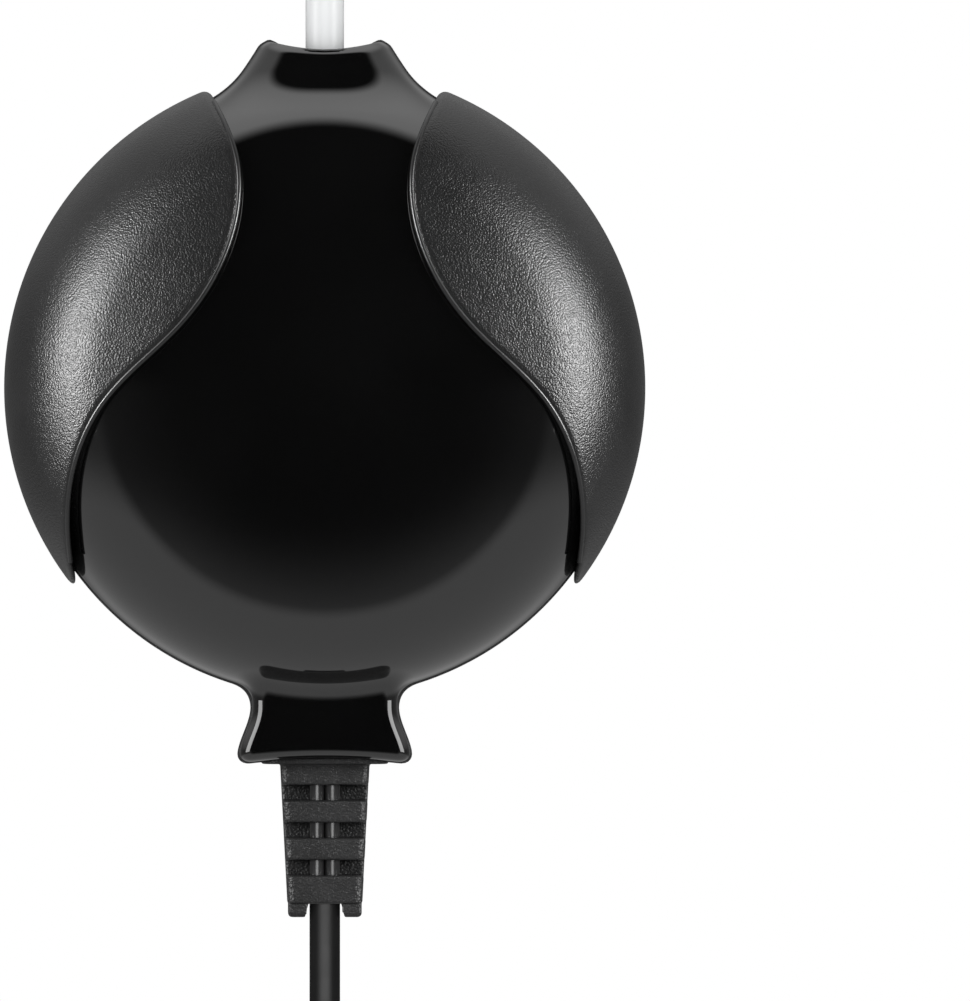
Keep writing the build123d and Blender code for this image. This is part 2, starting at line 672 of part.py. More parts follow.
tie_y = coil_centre[1] - coil_mid_r
with BuildPart() as cord_tie:
    add(slab((coil_centre[0] - 5, coil_centre[0] + 5), (tie_y - ring_half - 1.4, tie_y + ring_half + 1.9),
             (table_z, ring_z[1] + tie_thick)))
    fillet(cord_tie.edges().filter_by(Axis.X), radius=1.2)
    add(slab((coil_centre[0] - 5, coil_centre[0] + 5), (tie_y - ring_half - 0.3, tie_y + ring_half + 0.8),
             (ring_z[0], ring_z[1])), mode=Mode.SUBTRACT)
save(cord_tie.part, "cord_tie")

# the plug lies flat on the table beside the ring, its lead running out of the outermost turn
plug_x = coil_centre[0] + coil_mid_r + ring_half + 1.2
plug_z = table_z + 6.6
plug_cord_y = -62.0
plug_root_y = -44.0
plug_face_y = -18.0
tail_route = [(coil_centre[0] + coil_mid_r + 4.9, -86.0, coil_low_z + layer_pitch),
              (coil_centre[0] + coil_mid_r + 5.6, -74.0, coil_low_z + layer_pitch - 0.8), (plug_x, plug_cord_y, plug_z)]
tail_radii = arc_radii(tail_route)
with BuildPart() as cord_tail:
    with BuildLine() as tail_line:
        FilletPolyline(*tail_route, radius=tail_radii)
    tail_start = Vector(*tail_route[0])
    with BuildSketch(Plane(origin=tail_start, x_dir=(0, 0, 1), z_dir=Vector(*tail_route[1]) - tail_start)):
        SlotOverall(cord_width, cord_thick)
    sweep()
save(cord_tail.part, "power_cord_tail")

with BuildPart() as plug_body:
    for y, half_width, half_height in [(plug_cord_y, 3.6, 2.8), (plug_root_y, 6.5, 4.6)]:
        with BuildSketch(front_plane(y)):
            with Locations((plug_x, plug_z)):
                RectangleRounded(2 * half_width, 2 * half_height, 2.4)
    loft()
    for y, half_width, half_height in [(plug_root_y, 8.5, 5.6), (plug_face_y - 8, 11.5, 6.6), (plug_face_y, 11.5, 6.6)]:
        with BuildSketch(front_plane(y)):
            with Locations((plug_x, plug_z)):
                RectangleRounded(2 * half_width, 2 * half_height, 3.0)
    loft(ruled=True)
save(plug_body.part, "plug_body")

with BuildPart() as plug_blades:
    for side in (-6.35, 6.35):
        add(slab((plug_x + side - 0.75, plug_x + side + 0.75), (plug_face_y, plug_face_y + 16.5),
                 (plug_z - 3.15, plug_z + 3.15)))
    chamfer(plug_blades.faces().sort_by(Axis.Y)[-1].edges(), length=0.5)
save(plug_blades.part, "plug_blades")

# ---------------------------------------------------------------- airline and its one-way valve

with BuildPart() as airline_tube:
    with BuildSketch(Plane.XY.offset(tube_bottom_z)):
        with Locations((0, nipple_y)):
            Circle(tube_r)
            Circle(tube_bore_r, mode=Mode.SUBTRACT)
    extrude(amount=tube_top_z - tube_bottom_z)
save(airline_tube.part, "airline_tube")

with BuildPart() as check_valve_inlet:
    add(along_z([(0, nipple_y)], valve_r, tube_top_z, valve_joint_z))
    fillet(check_valve_inlet.edges().sort_by(Axis.Z)[0], radius=1.2)
    add(along_z([(0, nipple_y)], spigot_r, tube_top_z - 12, tube_top_z))
    add(along_z([(0, nipple_y)], 6.5, valve_seat_z, valve_joint_z), mode=Mode.SUBTRACT)
    add(along_z([(0, nipple_y)], spigot_bore_r, tube_top_z - 12, valve_seat_z), mode=Mode.SUBTRACT)
save(check_valve_inlet.part, "check_valve_inlet")

with BuildPart() as check_valve_outlet:
    add(along_z([(0, nipple_y)], valve_r, valve_joint_z, valve_top_z))
    fillet(check_valve_outlet.edges().sort_by(Axis.Z)[-1], radius=1.2)
    add(along_z([(0, nipple_y)], tube_bore_r, valve_top_z, valve_tip_z))
    chamfer(check_valve_outlet.edges().sort_by(Axis.Z)[-1], length=0.5)
    add(along_z([(0, nipple_y)], 6.5, valve_joint_z, valve_top_z - 2), mode=Mode.SUBTRACT)
    add(along_z([(0, nipple_y)], spigot_bore_r, valve_joint_z, valve_tip_z), mode=Mode.SUBTRACT)
save(check_valve_outlet.part, "check_valve_outlet")
save(along_z([(0, nipple_y)], 5.5, valve_seat_z + gap, valve_seat_z + gap + 0.8), "check_valve_flap")

# ---------------------------------------------------------------- lengths

flat_area = cord_thick * (cord_width - cord_thick) + pi * cord_thick**2 / 4
for name, line, solid in (("power_cord", cord_line, power_cord), ("power_cord_tail", tail_line, cord_tail)):
    length = sum(edge.length for edge in line.edges())
    print(name, "length", round(length, 2), "volume over section", round(solid.part.volume / flat_area, 2))
print("power_cord radii", [round(r, 1) for r in cord_radii])
print("power_cord_tail radii", [round(r, 1) for r in tail_radii])
coiled = cord_length - sum(edge.length for line in (cord_line, tail_line) for edge in line.edges())
print("coil length", round(coiled, 1), "turns", round(coiled / (2 * pi * coil_mid_r), 2))
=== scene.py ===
"""Looks of the aquarium air pump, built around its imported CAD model.

The housing, grips, strain relief and plug are meshed from signed distances, in millimetres,
so that their surfaces run into each other with true fillets. Everything else is in metres.
"""

import json
import math

import bpy
import numpy as np
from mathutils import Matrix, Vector


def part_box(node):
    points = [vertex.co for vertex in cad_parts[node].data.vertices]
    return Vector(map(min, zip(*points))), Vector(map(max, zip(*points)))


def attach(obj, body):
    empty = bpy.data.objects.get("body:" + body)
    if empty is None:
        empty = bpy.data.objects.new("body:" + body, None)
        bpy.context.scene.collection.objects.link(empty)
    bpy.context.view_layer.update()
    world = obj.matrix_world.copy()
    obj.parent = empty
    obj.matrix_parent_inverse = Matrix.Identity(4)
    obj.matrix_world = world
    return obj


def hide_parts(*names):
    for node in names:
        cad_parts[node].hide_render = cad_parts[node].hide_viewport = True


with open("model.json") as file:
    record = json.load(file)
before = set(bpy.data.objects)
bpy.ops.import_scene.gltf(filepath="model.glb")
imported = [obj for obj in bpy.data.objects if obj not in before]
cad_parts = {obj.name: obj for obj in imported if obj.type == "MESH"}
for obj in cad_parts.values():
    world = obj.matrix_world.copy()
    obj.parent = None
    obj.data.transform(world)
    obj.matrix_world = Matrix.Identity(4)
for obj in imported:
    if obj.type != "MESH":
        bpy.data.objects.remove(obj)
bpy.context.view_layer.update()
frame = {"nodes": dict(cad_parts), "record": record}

MM = 0.001


def box_mm(node):
    """A CAD node's lowest and highest corner, in millimetres."""
    low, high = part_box(node)
    return np.array(low) / MM, np.array(high) / MM


# ---------------------------------------------------------------- sizes, in millimetres

shell_low, shell_high = box_mm("front_shell")
grip_low, grip_high = box_mm("grip_panel_right")
plug_low, plug_high = box_mm("plug_body")

SHELL_R = shell_high[0]
FRONT_Y, SPLIT_Y = shell_low[1], shell_high[1]
REAR_Y = box_mm("rear_shell")[1][1]
WALL = 2.0
SHOULDER_R = 19.0
SHOULDER_Y = -24.0
CENTRE_R = SHELL_R - SHOULDER_R
RISE = FRONT_Y - SHOULDER_Y
DOME_R = (CENTRE_R**2 + RISE**2 - SHOULDER_R**2) / (-2 * (SHOULDER_R + RISE))
DOME_Y = FRONT_Y + DOME_R
HEEL_R = 14.0
HEEL_Y = REAR_Y - HEEL_R
HEEL_CENTRE_R = SHELL_R - HEEL_R

# collars: half sizes at the rim, what they grow by, and the circle that scoops the rim out
TOP_HALF_WIDTH, TOP_WIDENS, TOP_FLARES = 10.45, 0.62, 0.012
TOP_HALF_DEPTH, TOP_DEEPENS = 7.8, 0.3
TOP_POWER = 2.4
TOP_DIP_R, TOP_DIP_Z = 28.5, 52.7
TOP_ROOT_Z = 38
MOUTH_Z = (46.5, 55)
MOUTH_WIDENS, MOUTH_DEEPENS = 4.2, 2.4
TUBE_WAY_R = 3.8
BOTTOM_HALF_WIDTH, BOTTOM_WIDENS = 11.25, 2.1
BOTTOM_HALF_DEPTH, BOTTOM_DEEPENS = 8.2, 0.7
BOTTOM_FLARE_BELOW = (49.7, 57.7)
BOTTOM_CORNER_R = 2.4
BOTTOM_LIP_R = 2.2
BOTTOM_DIP_R, BOTTOM_DIP_Z = 105.0, -57.6
BOTTOM_ROOT_Z = -42
COLLAR_FILLET = 3.0

# bosses and openings of the shells
TUBE_BOSS_R, TUBE_BOSS_Z = 9.5, 42
TUBE_WAY_Z = 41
CORD_BOSS_HALF, CORD_BOSS_Z = (12.5, 9), (-60, -42)
CORD_WAY_HALF, CORD_WAY_Z = (6.9, 4.1), (-70, -41)
SCREW_PLACES = [(32.8, 22.9), (-32.8, 22.9), (-32.8, -22.9), (32.8, -22.9)]
SCREW_BOSS_R, SCREW_WAY_R, SCREW_SEAT_Y = 3.8, 3.2, -11.5
FILTER_PLACE = (20.0, -18.0)
FILTER_R, FILTER_CUP_Y, FILTER_SEAT_Y = 8.0, -14, -12
CUP_SEAT_R, CUP_SEAT_Y, CUP_STEM_R = 11, -7.4, 4.0
RIM_PROUD = 0.35
RIM_FADES = (1.5, 5)

GRIP_PROUD = grip_high[0] - SHELL_R
GRIP_BACK_Y = grip_high[1]
GRIP_SUNK = 0.9
EDGE_INSET = 0.45
EDGE_R = 0.4
GRIP_SEAM = [
    (18.4, 47.4), (13.3, 35.5), (13.9, 24.0), (22.6, 8.9), (34.2, -2.8), (39.4, -17.0), (38.2, -33.0),
]

# strain relief: half sizes across and front to back
RELIEF_TOP_Z = -58.3
RELIEF_END_Z = -80.4
RELIEF_FEET_Z = box_mm("cord_strain_relief")[0][2]
RELIEF_HALF, RELIEF_NARROWS = (7.0, 4.1), (1.15, 0.8)
SLOTS, SLOT_FIRST_Z, SLOT_PITCH = 3, -63.1, 5.85
SLOT_HALF_HEIGHT, SLOT_DEPTH = 1.2, 1.3
NECK_HALF, NECK_TOP_Z = (6.7, 3.9), -41.9
FLANGE_HALF, FLANGE_TOP_Z = (9, 5.5), -39
PLATE_HALF, PLATE_Z = (9.9, 6.2), -58.1
FOOT_X, FOOT_HALF = 4.15, (1.6, 2.9)
ARCH_R, ARCH_Z, ARCH_HALF_DEPTH = 3.0, -82.3, 2.6
LEAD_WAY_HALF = (2.45, 1.25)

# plug: half sizes across and up, from its sleeve to its face
PLUG_X, PLUG_Z = (plug_low[0] + plug_high[0]) / 2, (plug_low[2] + plug_high[2]) / 2
PLUG_ROOT_Y = -44.0
SLEEVE_HALF, SLEEVE_NARROWS = (6.2, 4.4), (2.6, 1.8)
RING_HEIGHT, RING_PITCH = 0.45, 3.0
PLUG_HALF, PLUG_GROWS = (8.4, 5.6), (3.0, 0.9)
GROOVE_DEPTH, GROOVE_PITCH, GROOVE_X = 0.35, 2.4, 6.5

# ---------------------------------------------------------------- sizes of the cords, in metres

CORD_WIDTH = 0.0048
CORD_THICK = 0.0030
COIL_CENTRE = Vector((0.033, -0.084, 0))
COIL_MID_R = 0.028
COLUMN_PITCH = 0.0033
LAYER_PITCH = 0.0049
COLUMNS = 4
TURN_POINTS = 16
LOWER_TURNS, INNER_TURNS, UPPER_TURNS, LAST_TURNS = 3.0, 1.0, 3.0, 0.5
CLIMB_AFTER, CLIMB_OVER = 0.55, 0.4
WANDER = 0.00012
TUBE_R, TUBE_BORE_R = 0.003, 0.00205

# ---------------------------------------------------------------- meshes from distances

RELAX_PASSES = 2
SETTLE_PASSES = 3
PROBE = 0.01


def smooth_max(a, b, width):
    """The larger of two distances, with the edge between them rounded over this width."""
    near = np.maximum(width - np.abs(a - b), 0) / width
    return np.maximum(a, b) + near * near * width / 4


def smooth_min(a, b, width):
    """The smaller of two distances, with a fillet between them."""
    return -smooth_max(-a, -b, width)


def polygonise(field, low, high, step):
    """Quads on the surface where field is zero: points, faces and outward normals."""
    axes = [np.arange(a, b + step, step) for a, b in zip(low, high)]
    grid = (axes[0][:, None, None], axes[1][None, :, None], axes[2][None, None, :])
    inside = np.broadcast_to(field(*grid), [len(a) for a in axes]) < 0
    corners = sum(
        inside[i : len(axes[0]) - 1 + i, j : len(axes[1]) - 1 + j, k : len(axes[2]) - 1 + k].astype(np.int8)
        for i in (0, 1)
        for j in (0, 1)
        for k in (0, 1)
    )
    cells = np.argwhere((corners > 0) & (corners < 8))
    index = np.full(corners.shape, -1)
    index[tuple(cells.T)] = np.arange(len(cells))
    points = np.array(low) + (cells + 0.5) * step
    quads = []
    for axis in range(3):
        order = [(axis + i) % 3 for i in range(3)]
        solid, number = inside.transpose(order), index.transpose(order)
        i, j, k = np.nonzero(solid[:-1, 1:-1, 1:-1] != solid[1:, 1:-1, 1:-1])
        j, k = j + 1, k + 1
        around = (number[i, j - 1, k - 1], number[i, j, k - 1], number[i, j, k], number[i, j - 1, k])
        quad = np.stack(around, 1)
        flip = ~solid[i, j, k]
        quad[flip] = quad[flip][:, ::-1]
        quads.append(quad)
    quads = np.concatenate(quads)
    points = settle(field, points, step)
    ends = np.concatenate([quads[:, [i, (i + 1) % 4]] for i in range(4)])
    valence = np.bincount(ends.ravel(), minlength=len(points))[:, None]
    for _ in range(RELAX_PASSES):
        total = np.zeros_like(points)
        np.add.at(total, ends[:, 0], points[ends[:, 1]])
        np.add.at(total, ends[:, 1], points[ends[:, 0]])
        points = settle(field, (points + total / valence) / 2, step)
    return points, quads, slope(field, points)


def slope(field, points):
    """The unit direction in which field grows at each point."""
    columns = []
    for axis in range(3):
        shift = np.zeros(3)
        shift[axis] = PROBE
        columns.append(field(*(points + shift).T) - field(*(points - shift).T))
    grown = np.stack(columns, 1)
    return grown / np.maximum(np.linalg.norm(grown, axis=1, keepdims=True), 1e-12)


def settle(field, points, step):
    """Moves points along the slope onto the surface."""
    for _ in range(SETTLE_PASSES):
        distance = np.clip(field(*points.T), -step, step)
        points = points - distance[:, None] * slope(field, points)
    return points


def piece_from(name, points, quads, normals, mirrored=False):
    """A smooth mesh piece from millimetre points, with the surface's own normals."""
    if mirrored:
        points, normals, quads = points * (-1, 1, 1), normals * (-1, 1, 1), quads[:, ::-1]
    mesh = bpy.data.meshes.new(name)
    mesh.from_pydata((points * MM).tolist(), [], quads.tolist())
    mesh.validate()
    mesh.polygons.foreach_set("use_smooth", [True] * len(mesh.polygons))
    mesh.normals_split_custom_set_from_vertices(normals.tolist())
    piece = bpy.data.objects.new(name, mesh)
    bpy.context.scene.collection.objects.link(piece)
    return piece


# ---------------------------------------------------------------- housing


def disc(x, y, z):
    """Distance from the lens-shaped body's outside, negative within it."""
    r = np.sqrt(x * x + z * z)
    on_dome = r * (DOME_Y - SHOULDER_Y) < CENTRE_R * (DOME_Y - y)
    front = np.where(
        on_dome, np.hypot(r, y - DOME_Y) - DOME_R, np.hypot(r - CENTRE_R, y - SHOULDER_Y) - SHOULDER_R
    )
    rear = np.where(r > HEEL_CENTRE_R, np.hypot(r - HEEL_CENTRE_R, y - HEEL_Y) - HEEL_R, y - REAR_Y)
    return np.where(y < SHOULDER_Y, front, np.where(y < HEEL_Y, r - SHELL_R, rear))


def oval(x, y, half_width, half_depth, power=2.0):
    """Distance from an oval column; a power over 2 squares its section up."""
    u, v = np.abs(x / half_width), np.abs(y / half_depth)
    g = (u**power + v**power) ** (1 / power) + 1e-9
    shape = g ** (1 - power)
    grown = np.hypot(u ** (power - 1) / half_width, v ** (power - 1) / half_depth) * shape + 1e-9
    return np.maximum((g - 1) / grown, -np.minimum(half_width, half_depth))


def bar_y(x, z, place, radius):
    """Distance from a round bar along Y."""
    return np.hypot(x - place[0], z - place[1]) - radius


def split_block(x, y, z, half, z_range):
    """Distance from a plain box about the split plane, taken by its nearest face."""
    low = (-half[0], SPLIT_Y - half[1], z_range[0])
    high = (half[0], SPLIT_Y + half[1], z_range[1])
    parts = [np.maximum(a - v, v - b) for v, a, b in zip((x, y, z), low, high)]
    return np.maximum(np.maximum(parts[0], parts[1]), parts[2])


def rounded(x, y, half_width, half_depth, radius):
    """Distance from a column with a rounded rectangular section."""
    dx, dy = np.abs(x) - half_width + radius, np.abs(y) - half_depth + radius
    return np.hypot(np.maximum(dx, 0), np.maximum(dy, 0)) + np.minimum(np.maximum(dx, dy), 0) - radius


def rise(v, start, end):
    """A smooth step from 0 to 1."""
    t = np.clip((v - start) / (end - start), 0, 1)
    return t * t * (3 - 2 * t)


def top_collar(x, y, z):
    """The flared outlet collar, its top scooped out from side to side, with a bevelled lip."""
    below = np.maximum(TOP_DIP_Z - z, -4)
    half_width = TOP_HALF_WIDTH + TOP_WIDENS * below + TOP_FLARES * np.maximum(below, 0) ** 2
    half_depth = TOP_HALF_DEPTH + TOP_DEEPENS * below
    column = oval(x, y - SPLIT_Y, np.maximum(half_width, 4), np.maximum(half_depth, 4), TOP_POWER)
    depth = np.hypot(x, z - TOP_DIP_Z - TOP_DIP_R) - TOP_DIP_R
    bevel = 0.80 * column - 0.60 * depth + 0.62
    solid = smooth_max(smooth_max(column, -depth, 0.25), bevel, 0.3)
    opened = rise(z, *MOUTH_Z)
    mouth = oval(x, y - SPLIT_Y, TUBE_WAY_R + MOUTH_WIDENS * opened, TUBE_WAY_R + MOUTH_DEEPENS * opened)
    return smooth_max(np.maximum(solid, TOP_ROOT_Z - z), -mouth, 0.9)


def bottom_collar(x, y, z):
    """The waisted, round-cornered collar that the strain relief comes out of."""
    flare = rise(-z, *BOTTOM_FLARE_BELOW)
    half_width = BOTTOM_HALF_WIDTH + BOTTOM_WIDENS * flare
    half_depth = BOTTOM_HALF_DEPTH + BOTTOM_DEEPENS * flare
    column = rounded(x, y - SPLIT_Y, half_width, half_depth, BOTTOM_CORNER_R)
    depth = np.hypot(x, z - BOTTOM_DIP_Z + BOTTOM_DIP_R) - BOTTOM_DIP_R
    return np.maximum(smooth_max(column, -depth, BOTTOM_LIP_R), z - BOTTOM_ROOT_Z)


def seam_line():
    """Close points along the smooth curve through the seam's own points."""
    points = np.array(GRIP_SEAM)
    knots = np.concatenate([[0], np.cumsum(np.linalg.norm(np.diff(points, axis=0), axis=1))])
    count, gaps = len(points), np.diff(knots)
    system, right = np.eye(count), np.zeros((count, 2))
    for i in range(1, count - 1):
        system[i, i - 1 : i + 2] = gaps[i - 1], 2 * (gaps[i - 1] + gaps[i]), gaps[i]
        right[i] = 6 * ((points[i + 1] - points[i]) / gaps[i] - (points[i] - points[i - 1]) / gaps[i - 1])
    bend = np.linalg.solve(system, right)
    line = []
    for i in range(count - 1):
        for t in np.arange(0, 1, 1 / 8) * gaps[i]:
            u = gaps[i] - t
            curve = (bend[i] * u**3 + bend[i + 1] * t**3) / (6 * gaps[i])
            straight = (points[i] / gaps[i] - bend[i] * gaps[i] / 6) * u
            straight = straight + (points[i + 1] / gaps[i] - bend[i + 1] * gaps[i] / 6) * t
            line.append(curve + straight)
    line.append(points[-1])
    ends = (line[0] + 4 * (line[0] - line[1]), line[-1] + 12 * (line[-1] - line[-2]))
    return np.array([ends[0], *line, ends[1]])


SEAM = seam_line()


def seam_distance(x, z):
    """Distance from the right-hand seam in the front view, negative on the grip's side."""
    best = np.full(np.broadcast(x, z).shape, 1e9)
    side = np.ones_like(best)
    for a, b in zip(SEAM, SEAM[1:]):
        along = b - a
        t = np.clip(((x - a[0]) * along[0] + (z - a[1]) * along[1]) / (along @ along), 0, 1)
        away = np.hypot(x - a[0] - t * along[0], z - a[1] - t * along[1])
        nearer = away < best
        cross = along[0] * (z - a[1]) - along[1] * (x - a[0])
        best = np.where(nearer, away, best)
        side = np.where(nearer, np.where(cross > 0, -1.0, 1.0), side)
    return best * side


def housing(x, y, z):
    """The closed pump body: disc and both collars, run together."""
    body = smooth_min(disc(x, y, z), top_collar(x, y, z), COLLAR_FILLET)
    return smooth_min(body, bottom_collar(x, y, z), COLLAR_FILLET)


def hollow(x, y, z):
    """The inside of the housing, with the bosses left standing."""
    room = disc(x, y, z) + WALL
    room = smooth_max(room, -np.maximum(np.hypot(x, y - SPLIT_Y) - TUBE_BOSS_R, TUBE_BOSS_Z - z), 0.6)
    room = smooth_max(room, -split_block(x, y, z, CORD_BOSS_HALF, CORD_BOSS_Z), 0.6)
    for place in SCREW_PLACES:
        room = smooth_max(room, -bar_y(x, z, place, SCREW_BOSS_R), 0.6)
    room = np.minimum(room, np.maximum(np.hypot(x, y - SPLIT_Y) - TUBE_WAY_R, TUBE_WAY_Z - z))
    return np.minimum(room, split_block(x, y, z, CORD_WAY_HALF, CORD_WAY_Z))


def front_half(x, y, z):
    """The gloss front shell."""
    return smooth_max(smooth_max(housing(x, y, z), -hollow(x, y, z), 0.4), y - SPLIT_Y, 0.5)


def rear_half(x, y, z):
    """The rear shell, whose rim stands a little proud of the front one's."""
    rim = RIM_PROUD * (1 - rise(y, SPLIT_Y + RIM_FADES[0], SPLIT_Y + RIM_FADES[1]))
    solid = smooth_max(smooth_max(housing(x, y, z) - rim, -hollow(x, y, z), 0.4), SPLIT_Y - y, 0.5)
    for place in SCREW_PLACES:
        solid = smooth_max(solid, -np.maximum(bar_y(x, z, place, SCREW_WAY_R), SCREW_SEAT_Y - y), 0.5)
    cup = np.maximum(bar_y(x, z, FILTER_PLACE, FILTER_R + 2), FILTER_CUP_Y - y)
    solid = np.minimum(solid, np.maximum(cup, y - REAR_Y))
    well = np.maximum(bar_y(x, z, FILTER_PLACE, FILTER_R + 0.3), FILTER_SEAT_Y - y)
    solid = smooth_max(solid, -well, 0.5)
    # a shallow round seat that the suction cup's back lies in, and the way for its stem
    solid = smooth_max(solid, -np.maximum(bar_y(x, z, (0, 0), CUP_SEAT_R), CUP_SEAT_Y - y), 0.6)
    return smooth_max(solid, -bar_y(x, z, (0, 0), CUP_STEM_R), 0.4)


def grip(x, y, z):
    """The right-hand grip: a curved plate with rolled edges, its foot sunk in the disc."""
    away = disc(x, y, z)
    front_edge = smooth_max(away - GRIP_PROUD, seam_distance(x, z) + 0.15, 1.5)
    return np.maximum(smooth_max(front_edge, y - GRIP_BACK_Y, 1.6), -GRIP_SUNK - away)


def grip_edge():
    """Points, in metres, along the right-hand grip's front edge and back over its two ends."""
    line = SEAM[1:-1]
    along = np.gradient(line, axis=0)
    along /= np.linalg.norm(along, axis=1, keepdims=True)
    line = line + EDGE_INSET * np.stack([-along[:, 1], along[:, 0]], 1)
    far = np.linalg.norm(line, axis=1)
    line = line[far < SHELL_R + GRIP_PROUD - 1.2]
    low, high = np.full(len(line), FRONT_Y - 5.0), np.full(len(line), SHOULDER_Y)
    for _ in range(30):
        middle = (low + high) / 2
        outside = disc(line[:, 0], middle, line[:, 1]) > GRIP_PROUD - EDGE_INSET
        low, high = np.where(outside, middle, low), np.where(outside, high, middle)
    return [(x * MM, y * MM, z * MM) for (x, z), y in zip(line, low)]


# ---------------------------------------------------------------- strain relief and plug


def relief(x, y, z):
    """The ribbed strain relief, its neck through the collar and the flange inside."""
    depth = y - SPLIT_Y
    down = np.clip((RELIEF_TOP_Z - z) / (RELIEF_TOP_Z - RELIEF_END_Z), -0.2, 1.2)
    half = [size - narrows * down for size, narrows in zip(RELIEF_HALF, RELIEF_NARROWS)]
    taper = rounded(x, depth, *half, 1.3)
    ribs = smooth_max(taper, np.maximum(RELIEF_END_Z - z, z - RELIEF_TOP_Z - 1), 0.5)
    for n in range(SLOTS):
        middle = SLOT_FIRST_Z - n * SLOT_PITCH
        slot = smooth_max(np.abs(z - middle) - SLOT_HALF_HEIGHT, depth - SLOT_DEPTH, 0.4)
        ribs = smooth_max(ribs, -slot, 0.5)
    neck = np.maximum(rounded(x, depth, *NECK_HALF, 1.6), np.maximum(RELIEF_TOP_Z - z, z - NECK_TOP_Z))
    flange = split_block(x, y, z, FLANGE_HALF, (NECK_TOP_Z, FLANGE_TOP_Z))
    plate = smooth_max(rounded(x, depth, *PLATE_HALF, 3), np.abs(z - PLATE_Z) - 0.5, 0.4)
    solid = np.minimum(np.minimum(smooth_min(ribs, plate, 0.4), neck), flange)
    foot = rounded(np.abs(x) - FOOT_X, depth, *FOOT_HALF, 0.5)
    feet = smooth_max(foot, np.maximum(RELIEF_FEET_Z - z, z - RELIEF_END_Z - 1), 0.8)
    # an arch over the lead between the feet
    arch = np.maximum(np.hypot(x, z - ARCH_Z) - ARCH_R, np.abs(depth) - ARCH_HALF_DEPTH)
    solid = smooth_max(np.minimum(solid, feet), -np.maximum(arch, RELIEF_FEET_Z - z - 1), 0.3)
    return smooth_max(solid, -rounded(x, depth, *LEAD_WAY_HALF, 1.2), 0.3)


def plug(x, y, z):
    """The moulded plug: a tapered, ringed sleeve and a waisted body with finger grooves."""
    sx, sz = x - PLUG_X, z - PLUG_Z
    back = np.clip((PLUG_ROOT_Y - y) / (PLUG_ROOT_Y - plug_low[1]), -0.3, 1)
    ring = RING_HEIGHT * np.cos(2 * np.pi * (y - PLUG_ROOT_Y) / RING_PITCH) * (y < PLUG_ROOT_Y)
    half = [size - narrows * back for size, narrows in zip(SLEEVE_HALF, SLEEVE_NARROWS)]
    sleeve = rounded(sx, sz, *half, 2.2) - ring
    sleeve = smooth_max(sleeve, np.maximum(plug_low[1] - y, y - PLUG_ROOT_Y - 3), 0.8)
    ahead = rise(y, PLUG_ROOT_Y, plug_high[1] - 8)
    half = [size + grows * ahead for size, grows in zip(PLUG_HALF, PLUG_GROWS)]
    body = rounded(sx, sz, *half, 3.2)
    grooved = (np.abs(y + 34) < 4.8) * (np.abs(sx) > GROOVE_X)
    groove = GROOVE_DEPTH * np.cos(2 * np.pi * (y + 36) / GROOVE_PITCH) * grooved
    body = smooth_max(body + groove, np.maximum(PLUG_ROOT_Y - y, y - plug_high[1]), 1.6)
    return smooth_min(sleeve, body, 1.2)


# ---------------------------------------------------------------- materials


def node(tree, kind, **values):
    """A new shader node with these properties."""
    made = tree.nodes.new(kind)
    for key, value in values.items():
        setattr(made, key, value)
    return made


def link(tree, a, out, b, into):
    """Joins one node's named output to another's named input."""
    tree.links.new(a.outputs[out], b.inputs[into])


def texture(tree, place, kind, scale, detail):
    """A noise or cell texture on the piece's own coordinates, in features per metre."""
    if kind == "cells":
        made = node(tree, "ShaderNodeTexVoronoi", feature="SMOOTH_F1")
        made.inputs["Smoothness"].default_value = 0.6
        out = made.outputs["Distance"]
    else:
        made = node(tree, "ShaderNodeTexNoise")
        made.inputs["Detail"].default_value = detail
        out = made.outputs["Fac"]
    made.inputs["Scale"].default_value = scale
    tree.links.new(place, made.inputs["Vector"])
    return out


def material(name, dark, light, rough, tone_scale=60.0, bumps=(), shader=(), stretch=None):
    """A procedural finish: toned colour, roughness between two limits, and layers of bump.

    bumps are (kind, features per metre, strength, height in metres); shader sets constant sockets.
    """
    made = bpy.data.materials.new(name)
    made.use_nodes = True
    tree = made.node_tree
    surface = tree.nodes["Principled BSDF"]
    place = node(tree, "ShaderNodeTexCoord").outputs["Object"]
    if stretch:
        mapping = node(tree, "ShaderNodeMapping")
        mapping.inputs["Scale"].default_value = stretch
        tree.links.new(place, mapping.inputs["Vector"])
        place = mapping.outputs["Vector"]
    ramp = node(tree, "ShaderNodeValToRGB")
    for stop, position, colour in zip(ramp.color_ramp.elements, (0.35, 0.65), (dark, light)):
        stop.position = position
        stop.color = (*colour, 1)
    tree.links.new(texture(tree, place, "noise", tone_scale, 4), ramp.inputs["Fac"])
    link(tree, ramp, "Color", surface, "Base Color")
    spread = node(tree, "ShaderNodeMapRange")
    for socket, value in zip(("From Min", "From Max", "To Min", "To Max"), (0.3, 0.7, *rough)):
        spread.inputs[socket].default_value = value
    tree.links.new(texture(tree, place, "noise", tone_scale * 3.7, 5), spread.inputs["Value"])
    link(tree, spread, "Result", surface, "Roughness")
    before = None
    for kind, scale, strength, height in bumps:
        bump = node(tree, "ShaderNodeBump", invert=kind == "cells")
        bump.inputs["Strength"].default_value = strength
        bump.inputs["Distance"].default_value = height
        tree.links.new(texture(tree, place, kind, scale, 3), bump.inputs["Height"])
        if before:
            link(tree, before, "Normal", bump, "Normal")
        before = bump
    if before:
        link(tree, before, "Normal", surface, "Normal")
    for socket, value in dict(shader).items():
        surface.inputs[socket].default_value = value
    return made


def grey(value):
    """A very slightly cool grey."""
    return (value, value, value * 1.02)


